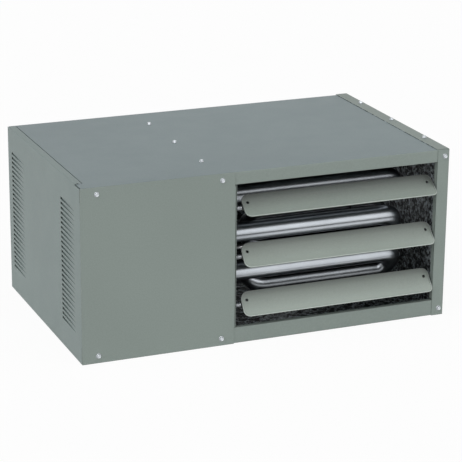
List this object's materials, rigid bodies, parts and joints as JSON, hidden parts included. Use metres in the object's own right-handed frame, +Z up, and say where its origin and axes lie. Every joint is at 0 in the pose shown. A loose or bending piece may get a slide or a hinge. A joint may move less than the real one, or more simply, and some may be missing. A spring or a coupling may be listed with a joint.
{
  "type": "gas unit heater",
  "caption": "Low-profile ceiling-hung gas unit heater: grey sheet casing, louvered warm-air outlet over serpentine heat-exchanger tubes, pressed side vents, rear fan and vent collar.",
  "frame": {"origin": "centre of the casing's underside, on the plane that the heater stands on", "axes": "+X to the right as seen from the louvered front, along the casing's length; +Y from the front to the back; +Z up"},
  "size_m": [0.684, 0.5043, 0.3146],
  "materials": {
    "painted_casing": "smooth grey enamel, satin",
    "galvanised_steel": "spangled zinc, dull",
    "aluminised_steel": "satin, slightly mottled",
    "zinc_steel": "bright zinc plate",
    "dark_steel": "black enamel",
    "cast_aluminium": "as cast, matt",
    "blue_plastic": "moulded",
    "red_plastic": "moulded",
    "black_plastic": "moulded, matt",
    "white_ceramic": "glazed",
    "green_board": "coated",
    "grey_rubber": "matt",
    "brass": "machined"
  },
  "bodies": {
    "heater": {"top_panel": "painted_casing", "bottom_panel": "painted_casing", "right_side_panel": "painted_casing", "left_access_panel": "painted_casing", "front_left_panel": "painted_casing", "back_panel": "painted_casing", "louver_rail_left": "painted_casing", "louver_rail_right": "painted_casing", "partition": "galvanised_steel", "tube_support": "galvanised_steel", "burner_bracket": "galvanised_steel", "header_plate": "aluminised_steel", "heat_tube_1": "aluminised_steel", "heat_tube_2": "aluminised_steel", "heat_tube_3": "aluminised_steel", "burner_1": "aluminised_steel", "burner_2": "aluminised_steel", "burner_3": "aluminised_steel", "flue_collector_box": "aluminised_steel", "vent_transition": "aluminised_steel", "vent_collar": "aluminised_steel", "louver_pivot_pins": "zinc_steel", "louver_springs": "zinc_steel", "front_panel_screws": "zinc_steel", "right_flange_screws": "zinc_steel", "right_top_screws": "zinc_steel", "partition_screws": "zinc_steel", "back_panel_screws": "zinc_steel", "guard_screws": "zinc_steel", "gas_manifold": "dark_steel", "gas_inlet_pipe": "dark_steel", "inducer_housing": "dark_steel", "inducer_motor": "dark_steel", "fan_motor": "dark_steel", "fan_guard": "dark_steel", "transformer": "dark_steel", "gas_valve": "cast_aluminium", "rollout_switch": "black_plastic", "limit_switch": "black_plastic", "pressure_switch": "black_plastic", "terminal_strip": "black_plastic", "spark_igniter": "white_ceramic", "flame_sensor": "white_ceramic", "board_standoffs": "white_ceramic", "control_board": "green_board", "pressure_hose": "grey_rubber", "burner_orifices": "brass"},
    "louver_1": {"louver_blade_1": "painted_casing"},
    "louver_2": {"louver_blade_2": "painted_casing"},
    "louver_3": {"louver_blade_3": "painted_casing"},
    "fan": {"fan_propeller": "galvanised_steel", "fan_shaft": "zinc_steel"},
    "inducer": {"inducer_wheel": "galvanised_steel", "inducer_shaft": "zinc_steel"},
    "valve_knob": {"gas_valve_knob": "blue_plastic"},
    "reset_button": {"rollout_reset_button": "red_plastic"}
  },
  "joints": [
    {"name": "louver_1_tilt", "type": "hinge", "parent": "heater", "child": "louver_1", "pos_m": [0.133, -0.1988, 0.2425], "axis": [1, 0, 0], "range_deg": [-44, 41]},
    {"name": "louver_2_tilt", "type": "hinge", "parent": "heater", "child": "louver_2", "pos_m": [0.133, -0.1988, 0.1545], "axis": [1, 0, 0], "range_deg": [-54, 31]},
    {"name": "louver_3_tilt", "type": "hinge", "parent": "heater", "child": "louver_3", "pos_m": [0.133, -0.1988, 0.0665], "axis": [1, 0, 0], "range_deg": [-59, 26]},
    {"name": "fan_spin", "type": "hinge", "parent": "heater", "child": "fan", "pos_m": [0.119, 0.1915, 0.15], "axis": [0, 1, 0], "continuous": true},
    {"name": "inducer_spin", "type": "hinge", "parent": "heater", "child": "inducer", "pos_m": [-0.178, -0.0595, 0.142], "axis": [1, 0, 0], "continuous": true},
    {"name": "valve_knob_turn", "type": "hinge", "parent": "heater", "child": "valve_knob", "pos_m": [-0.294, -0.0605, 0.0906], "axis": [0, 0, 1], "range_deg": [0, 90]},
    {"name": "reset_button_press", "type": "slide", "parent": "heater", "child": "reset_button", "axis": [1, 0, 0], "range_m": [0, 0.0015], "stiffness_N_per_m": 400}
  ]
}
